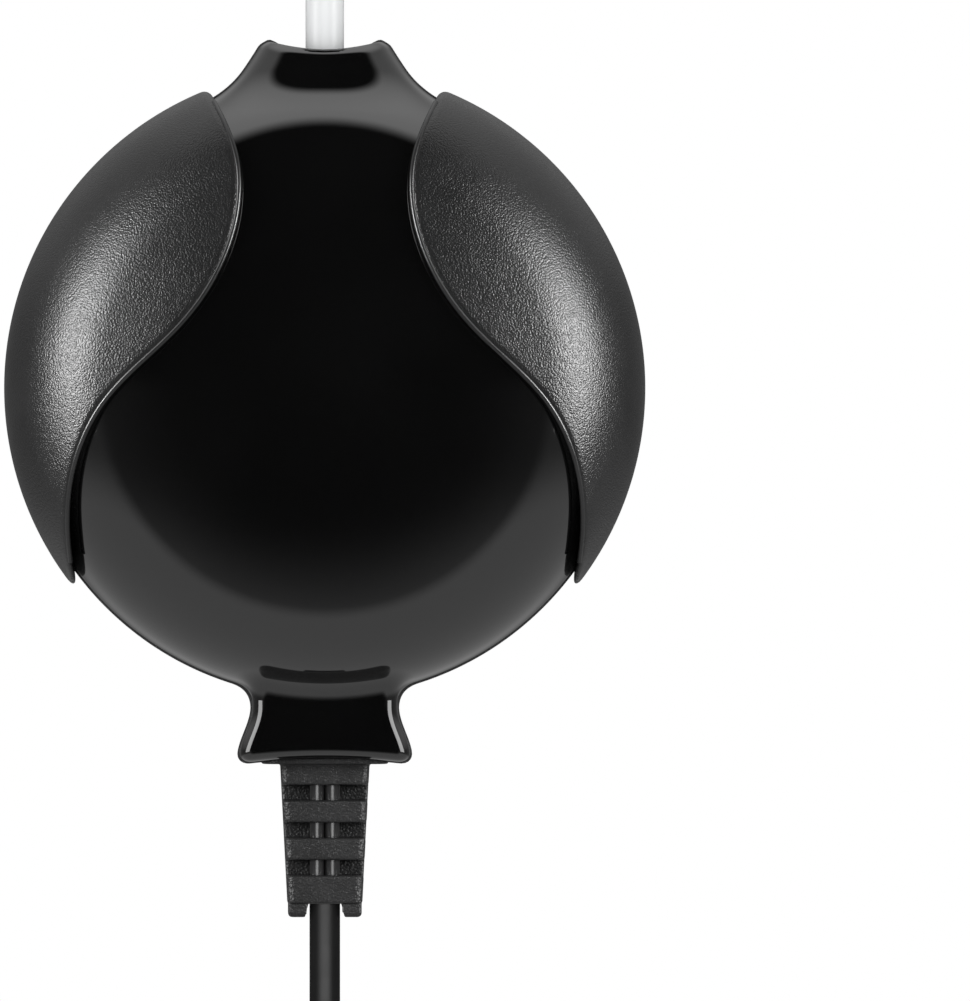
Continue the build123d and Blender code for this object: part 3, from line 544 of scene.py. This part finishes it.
finishes = {
    "gloss_black": material(
        "gloss_black", grey(0.0015), grey(0.0022), (0.035, 0.06), 40,
        [("noise", 90, 0.03, 0.0004)], {"IOR": 1.8},
    ),
    "matte_black": material(
        "matte_black", grey(0.010), grey(0.014), (0.5, 0.62), 50,
        [("noise", 2600, 0.35, 0.00012), ("cells", 3600, 0.25, 0.00008)],
    ),
    "grip_black": material(
        "grip_black", grey(0.004), grey(0.006), (0.28, 0.32), 70,
        [("cells", 3600, 0.6, 0.0001), ("noise", 6500, 0.5, 0.00006)], {"Specular IOR Level": 0.42},
    ),
    "grip_edge": material(
        "grip_edge", grey(0.005), grey(0.008), (0.26, 0.32), 70, [("noise", 900, 0.1, 0.0001)]
    ),
    "soft_black": material(
        "soft_black", grey(0.012), grey(0.018), (0.6, 0.75), 120, [("noise", 1500, 0.25, 0.0001)]
    ),
    "clear_rubber": material(
        "clear_rubber", (0.80, 0.84, 0.86), (0.88, 0.91, 0.92), (0.06, 0.12), 90,
        [("noise", 150, 0.15, 0.0004)], {"Transmission Weight": 0.8, "IOR": 1.5},
    ),
    "silicone": material(
        "silicone", (0.70, 0.71, 0.715), (0.72, 0.73, 0.735), (0.24, 0.28), 60,
        [("noise", 60, 0.02, 0.0001)], {"IOR": 1.41},
    ),
    "white_plastic": material(
        "white_plastic", (0.72, 0.70, 0.66), (0.80, 0.785, 0.75), (0.35, 0.45), 120,
        [("noise", 1500, 0.12, 0.0001)],
    ),
    "felt": material(
        "felt", (0.50, 0.49, 0.46), (0.72, 0.70, 0.66), (0.85, 0.95), 500,
        [("noise", 1800, 0.9, 0.0004)], {"Sheen Weight": 0.4},
    ),
    "screw_steel": material(
        "screw_steel", (0.50, 0.50, 0.51), (0.62, 0.62, 0.62), (0.25, 0.4), 300,
        [("noise", 2500, 0.15, 0.00005)], {"Metallic": 1.0},
    ),
    "core_steel": material(
        "core_steel", (0.16, 0.16, 0.17), (0.34, 0.34, 0.35), (0.4, 0.55), 40,
        [("noise", 60, 0.8, 0.0003)], {"Metallic": 1.0}, stretch=(1, 34, 1),
    ),
    "copper_wire": material(
        "copper_wire", (0.50, 0.20, 0.08), (0.72, 0.33, 0.14), (0.25, 0.35), 100,
        [("noise", 120, 0.9, 0.0003)], {"Metallic": 1.0}, stretch=(1, 1, 40),
    ),
    "tape": material(
        "tape", (0.55, 0.40, 0.08), (0.68, 0.50, 0.12), (0.3, 0.4), 150, [("noise", 900, 0.2, 0.0001)]
    ),
    "magnet": material("magnet", grey(0.06), grey(0.09), (0.5, 0.65), 200, [("noise", 2200, 0.3, 0.0001)]),
    "core_insulation": material(
        "core_insulation", grey(0.02), grey(0.03), (0.3, 0.34), 90,
        [("noise", 300, 0.03, 0.0001)], {"Specular IOR Level": 0.6},
    ),
    "relief_vinyl": material(
        "relief_vinyl", grey(0.006), grey(0.009), (0.42, 0.5), 120,
        [("cells", 2600, 0.8, 0.00015), ("noise", 4200, 0.5, 0.0001)], {"Specular IOR Level": 0.3},
    ),
    "cord_vinyl": material(
        "cord_vinyl", grey(0.006), grey(0.008), (0.36, 0.42), 80,
        [("noise", 900, 0.08, 0.0001)], {"Specular IOR Level": 0.3},
    ),
    "plug_brass": material(
        "plug_brass", (0.62, 0.57, 0.47), (0.68, 0.63, 0.53), (0.24, 0.3), 40,
        [("noise", 120, 0.08, 0.00005)], {"Metallic": 1.0}, stretch=(8, 1, 8),
    ),
    "valve_clear": material(
        "valve_clear", (0.80, 0.84, 0.86), (0.86, 0.89, 0.9), (0.06, 0.12), 80,
        [("noise", 300, 0.04, 0.0001)], {"Transmission Weight": 0.7, "IOR": 1.49},
    ),
    "valve_white": material(
        "valve_white", (0.74, 0.75, 0.75), (0.82, 0.82, 0.82), (0.2, 0.3), 90, [("noise", 700, 0.06, 0.0001)]
    ),
}


def dress(piece, slot, finish=None):
    """Gives a piece the finish named, or else the finish called after the slot."""
    piece.data.materials.clear()
    piece.data.materials.append(finishes[finish or slot])
    return piece


for row in frame["record"]["subparts"]:
    cad = frame["nodes"][row["node"]]
    cad.data.materials.clear()
    cad.data.materials.append(finishes[row["material_slot"]])

# ---------------------------------------------------------------- cords


def nurbs(name, points, bevel_object=None, tilts=None):
    """A smooth open curve with these control points."""
    curve = bpy.data.curves.new(name, "CURVE")
    curve.dimensions = "3D"
    curve.resolution_u = 6
    curve.twist_mode = "MINIMUM"
    spline = curve.splines.new("NURBS")
    spline.points.add(len(points) - 1)
    for i, (control, place) in enumerate(zip(spline.points, points)):
        control.co = (*place, 1)
        control.tilt = tilts[i] if tilts else 0
    spline.order_u = 3
    spline.use_endpoint_u = True
    if bevel_object:
        curve.bevel_mode = "OBJECT"
        curve.bevel_object = bevel_object
        curve.use_fill_caps = True
    piece = bpy.data.objects.new(name, curve)
    bpy.context.scene.collection.objects.link(piece)
    return piece


def spline_points(name, points):
    """Points read from the smooth curve through these control points."""
    route = nurbs(name, points)
    mesh = bpy.data.meshes.new_from_object(route)
    places = [vertex.co.copy() for vertex in mesh.vertices]
    bpy.data.meshes.remove(mesh)
    bpy.data.objects.remove(route)
    return places


def flat_section(name, width, thick, sides=24):
    """A closed, full oval section, a little flatter than an ellipse."""
    curve = bpy.data.curves.new(name, "CURVE")
    curve.dimensions = "2D"
    spline = curve.splines.new("POLY")
    spline.points.add(sides - 1)
    for i, point in enumerate(spline.points):
        angle = 2 * math.pi * (i + 0.5) / sides
        across, up = math.cos(angle), math.sin(angle)
        across, up = (math.copysign(abs(v) ** 0.85, v) for v in (across, up))
        point.co = (width / 2 * across, thick / 2 * up, 0, 1)
    spline.use_cyclic_u = True
    piece = bpy.data.objects.new(name, curve)
    bpy.context.scene.collection.objects.link(piece)
    piece.hide_render = True
    piece.hide_viewport = True
    return piece


coil_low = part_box("power_cord_coil")[0]
lower_z = coil_low.z + CORD_WIDTH / 2
upper_z = lower_z + LAYER_PITCH
outer_r = COIL_MID_R + (COLUMNS - 1) * COLUMN_PITCH / 2
inner_r = COIL_MID_R - (COLUMNS - 1) * COLUMN_PITCH / 2


def coil_point(turns):
    """A place on the wound lead, so many turns after it joins the ring."""
    angle = math.pi + 2 * math.pi * turns
    climb = min(max((turns - LOWER_TURNS - CLIMB_AFTER) / CLIMB_OVER, 0), 1)
    if turns < LOWER_TURNS:
        radius = outer_r - COLUMN_PITCH * turns
    elif turns < LOWER_TURNS + INNER_TURNS:
        radius = inner_r
    else:
        radius = min(inner_r + COLUMN_PITCH * (turns - LOWER_TURNS - INNER_TURNS), outer_r)
    height = lower_z + (upper_z - lower_z) * climb * climb * (3 - 2 * climb)
    wander = WANDER * math.sin(5.3 * turns + 0.7)
    return COIL_CENTRE + Vector((radius * math.cos(angle), radius * math.sin(angle), height + wander))


# straight down out of the strain relief, forward onto the table, and into the ring
drop = [
    (0, -0.023, -0.0804), (0, -0.023, -0.1), (0, -0.023, -0.116), (0, -0.0486, -0.142), (0, -0.066, -0.1416),
]
coil_turns = LOWER_TURNS + INNER_TURNS + UPPER_TURNS + LAST_TURNS
steps = int(coil_turns * TURN_POINTS)
ring = [coil_point(coil_turns * i / steps) for i in range(steps + 1)]
tail_end = Vector((PLUG_X * MM, plug_low[1] * MM, PLUG_Z * MM))
tail = [ring[-1] + Vector((0.0007, 0.008, -0.0008)), tail_end - Vector((0.0004, 0.007, 0)), tail_end]
lead_points = [Vector(p) for p in drop] + ring + tail
ring_start, ring_end = len(drop), len(drop) + len(ring)


def lead_tilt(i):
    """Flat against the table at both ends, and on edge in the ring."""
    into = min(max((i - ring_start + 2) / 6, 0), 1)
    out = min(max((i - ring_end + 7) / 7, 0), 1)
    return math.pi / 2 * (into - out)


section = flat_section("lead_section", CORD_WIDTH, CORD_THICK)
lead = nurbs("mains_lead", lead_points, section, [lead_tilt(i) for i in range(len(lead_points))])
dress(lead, "cord_vinyl")
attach(lead, "pump")
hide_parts("power_cord", "power_cord_coil", "power_cord_tail")

# ---------------------------------------------------------------- pieces from distances

fine = 1.0
front = piece_from(
    "housing_front", *polygonise(front_half, (-49, FRONT_Y - 1.5, -61), (49, SPLIT_Y + 1.2, 57), 0.4 * fine)
)
dress(front, "gloss_black")
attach(front, "pump")
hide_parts("front_shell")

rear = piece_from(
    "housing_rear", *polygonise(rear_half, (-49, SPLIT_Y - 1.3, -61), (49, REAR_Y + 1.5, 57), 0.6 * fine)
)
dress(rear, "matte_black")
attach(rear, "pump")
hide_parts("rear_shell")

grip_mesh = polygonise(grip, grip_low - 2, grip_high + 2, 0.4 * fine)
edge_points = grip_edge()
side_lit = []
for side, mirrored in (("right", False), ("left", True)):
    panel = piece_from(f"grip_{side}", *grip_mesh, mirrored=mirrored)
    dress(panel, "grip_black")
    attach(panel, "pump")
    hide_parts(f"grip_panel_{side}")
    bead = nurbs(f"grip_{side}_bead", [(-x if mirrored else x, y, z) for x, y, z in edge_points])
    bead.data.bevel_depth = EDGE_R * MM
    bead.data.use_fill_caps = True
    dress(bead, "grip_black", "grip_edge")
    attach(bead, "pump")
    side_lit += [panel, bead]

sleeve = piece_from(
    "strain_relief", *polygonise(relief, (-11, SPLIT_Y - 8, -84), (11, SPLIT_Y + 8, -38), 0.26 * fine)
)
dress(sleeve, "cord_vinyl", "relief_vinyl")
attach(sleeve, "pump")
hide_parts("cord_strain_relief")
side_lit.append(sleeve)

plug_piece = piece_from("mains_plug", *polygonise(plug, plug_low - 1.5, plug_high + 1.5, 0.45 * fine))
dress(plug_piece, "cord_vinyl", "relief_vinyl")
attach(plug_piece, "pump")
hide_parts("plug_body")

# ---------------------------------------------------------------- airline and cores


def turned_tube(name, radius, bore_r, centre, heights, sides):
    """An upright tube with a bore, of quads turned about its own axis."""
    profile = [(bore_r, z) for z in heights] + [(radius, z) for z in heights[::-1]]
    points, faces = [], []
    count = len(profile)
    for i in range(sides):
        angle = 2 * math.pi * i / sides
        across, along = math.cos(angle), math.sin(angle)
        points += [(centre[0] + r * across, centre[1] + r * along, z) for r, z in profile]
        for j in range(count):
            a, b = i * count + j, i * count + (j + 1) % count
            c, d = ((i + 1) % sides) * count + (j + 1) % count, ((i + 1) % sides) * count + j
            faces.append((a, d, c, b))
    mesh = bpy.data.meshes.new(name)
    mesh.from_pydata(points, [], faces)
    mesh.polygons.foreach_set("use_smooth", [True] * len(faces))
    mesh.set_sharp_from_angle(angle=math.radians(40))
    piece = bpy.data.objects.new(name, mesh)
    bpy.context.scene.collection.objects.link(piece)
    return piece


tube_low, tube_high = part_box("airline_tube")
tube_centre = (0.0, SPLIT_Y * MM)
tube_ends = tube_low.z, (tube_low.z + tube_high.z) / 2, tube_high.z
tube_path = spline_points("airline_route", [(*tube_centre, z) for z in tube_ends])
airline = turned_tube("airline", TUBE_R, TUBE_BORE_R, tube_centre, [place.z for place in tube_path], 64)
dress(airline, "silicone")
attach(airline, "pump")
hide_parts("airline_tube")

core_low, core_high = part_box("cord_cores")
core_r = (core_high.y - core_low.y) / 2
core_y = (core_low.y + core_high.y) / 2
core_ends = [core_low.z, core_high.z]
cores = []
for side, x in (("left", core_low.x + core_r), ("right", core_high.x - core_r)):
    core = turned_tube(f"core_{side}", core_r, 0.5 * core_r, (x, core_y), core_ends, 40)
    dress(core, "core_insulation")
    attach(core, "pump")
    cores.append(core)
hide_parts("cord_cores")

# ---------------------------------------------------------------- CAD nodes by name

nodes = frame["nodes"]

# ---------------------------------------------------------------- studio

FLOOR_HALF = 0.9
FLOOR_GAP = 0.0011
UNSEEN_IN_GLOSS = ("cord_tie", "plug_blades", "check_valve_inlet", "check_valve_outlet")
FLAG_OVER = 0.70
FLAG_EDGE = (-0.95, -0.70)
FLAG_LIGHT = 0.012
PAPER_LIGHT = 0.54
SIDE_LIGHT = 0.15
TOP_LIGHT = 0.75


def soft_box(name, place, target, size, power):
    """A soft rectangular studio light, aimed at a point."""
    light = bpy.data.lights.new(name, "AREA")
    light.shape = "RECTANGLE"
    light.size, light.size_y = size
    light.energy = power
    made = bpy.data.objects.new(name, light)
    made.location = place
    made.rotation_euler = (Vector(target) - Vector(place)).to_track_quat("-Z", "Y").to_euler()
    bpy.context.scene.collection.objects.link(made)
    return made


def light_group(name, pieces, state="INCLUDE"):
    """A collection for light linking: the light reaches only these pieces, or all but these."""
    group = bpy.data.collections.new(name)
    for piece in pieces:
        group.objects.link(piece)
    for row in group.collection_objects:
        row.light_linking.link_state = state
    return group


table_z = coil_low.z - FLOOR_GAP
floor_mesh = bpy.data.meshes.new("floor")
floor_mesh.from_pydata(
    [(x * FLOOR_HALF, y * FLOOR_HALF, table_z) for x, y in ((-1, -1), (1, -1), (1, 1), (-1, 1))],
    [], [(0, 1, 2, 3)],
)
floor_mesh.materials.append(material("floor", (0.80, 0.80, 0.80), (0.83, 0.83, 0.83), (0.7, 0.8), 4))
floor = bpy.data.objects.new("floor", floor_mesh)
bpy.context.scene.collection.objects.link(floor)

# the gloss doesn't reflect the floor, nor what lies out of the camera's view
for piece in (floor, lead, plug_piece, *(nodes[name] for name in UNSEEN_IN_GLOSS)):
    piece.visible_glossy = False

# The side boxes leave out the lead and cores, whose own box draws one soft line down the middle of
# each. The grips and strain relief have brighter side boxes, which show their grain and put no
# glare on the gloss.
all_but_cords = light_group("all_but_cords", [lead, *cores], "EXCLUDE")
grained = light_group("grained", side_lit)
for side, x in (("left", -0.75), ("right", 0.75)):
    side_box = soft_box(f"{side}_box", (x, -0.45, 0.16), (0, 0, 0.02), (0.5, 0.56), 3.5)
    side_box.light_linking.receiver_collection = all_but_cords
    grip_box = soft_box(f"{side}_grip_box", (x, -0.45, 0.13), (0, 0, 0.02), (0.2, 0.4), 12)
    grip_box.light_linking.receiver_collection = grained
cord_box = soft_box("cord_box", (0, -1.2, -0.09), (0, 0, -0.09), (0.7, 0.5), 9)
cord_box.light_linking.receiver_collection = light_group("cords", [lead, *cores])
fill = soft_box("front_fill", (0.0, -1.2, 0.25), (0, 0, 0), (0.9, 0.9), 8)
fill.visible_glossy = False


def world_math(tree, operation, a, b):
    """One step of arithmetic on sockets or numbers."""
    made = node(tree, "ShaderNodeMath", operation=operation)
    for into, value in zip(made.inputs, (a, b)):
        if isinstance(value, (int, float)):
            into.default_value = value
        else:
            tree.links.new(value, into)
    return made.outputs[0]


def world_step(tree, value, start, end):
    """A smooth step of a socket from 0 to 1."""
    made = node(tree, "ShaderNodeMapRange", interpolation_type="SMOOTHSTEP")
    made.inputs["From Min"].default_value = start
    made.inputs["From Max"].default_value = end
    tree.links.new(value, made.inputs["Value"])
    return made.outputs["Result"]


# White paper all round the object, but for a dark flag in front of it. The camera itself sees plain white.
world = bpy.data.worlds.new("studio")
bpy.context.scene.world = world
world.use_nodes = True
tree = world.node_tree
background = tree.nodes["Background"]
background.inputs["Color"].default_value = (1, 1, 1, 1)
split = node(tree, "ShaderNodeSeparateXYZ")
tree.links.new(node(tree, "ShaderNodeTexCoord").outputs["Generated"], split.inputs["Vector"])
over = world_math(tree, "MULTIPLY", world_math(tree, "MAXIMUM", split.outputs["Z"], 0.0), FLAG_OVER)
open_part = world_step(tree, world_math(tree, "SUBTRACT", split.outputs["Y"], over), *FLAG_EDGE)
overhead = world_math(tree, "MULTIPLY", world_step(tree, split.outputs["Z"], 0.6, 1.0), TOP_LIGHT)
steepness = world_math(tree, "ABSOLUTE", split.outputs["Z"], 0.0)
level = world_math(tree, "MULTIPLY_ADD", world_step(tree, steepness, 0.15, 0.45), PAPER_LIGHT - SIDE_LIGHT)
level.node.inputs[2].default_value = SIDE_LIGHT
paper = world_math(tree, "MULTIPLY", open_part, world_math(tree, "ADD", overhead, level))
tree.links.new(world_math(tree, "ADD", paper, FLAG_LIGHT), background.inputs["Strength"])
seen = node(tree, "ShaderNodeBackground")
seen.inputs["Color"].default_value = (1, 1, 1, 1)
mix = node(tree, "ShaderNodeMixShader")
tree.links.new(node(tree, "ShaderNodeLightPath").outputs["Is Camera Ray"], mix.inputs[0])
tree.links.new(background.outputs[0], mix.inputs[1])
tree.links.new(seen.outputs[0], mix.inputs[2])
tree.links.new(mix.outputs[0], tree.nodes["World Output"].inputs["Surface"])

scene = bpy.context.scene
scene.view_settings.view_transform = "Standard"
scene.view_settings.look = "None"

# ---------------------------------------------------------------- camera

CAMERA_AWAY = 2.5
CAMERA_TURN = math.radians(0.8)
FRAME_HEIGHT = 0.1562
SENSOR = 36
AIM = (0.025, SPLIT_Y * MM, -0.01755)

away = float(CAMERA_AWAY + SPLIT_Y * MM)
camera_data = bpy.data.cameras.new("camera")
camera_data.sensor_width = SENSOR
camera_data.lens = SENSOR * away / FRAME_HEIGHT
camera_data.clip_end = 20
camera = bpy.data.objects.new("camera", camera_data)
camera.location = Vector(AIM) - Vector((math.sin(CAMERA_TURN), math.cos(CAMERA_TURN), 0)) * away
camera.rotation_euler = (math.pi / 2, 0, -CAMERA_TURN)
scene.collection.objects.link(camera)
scene.camera = camera
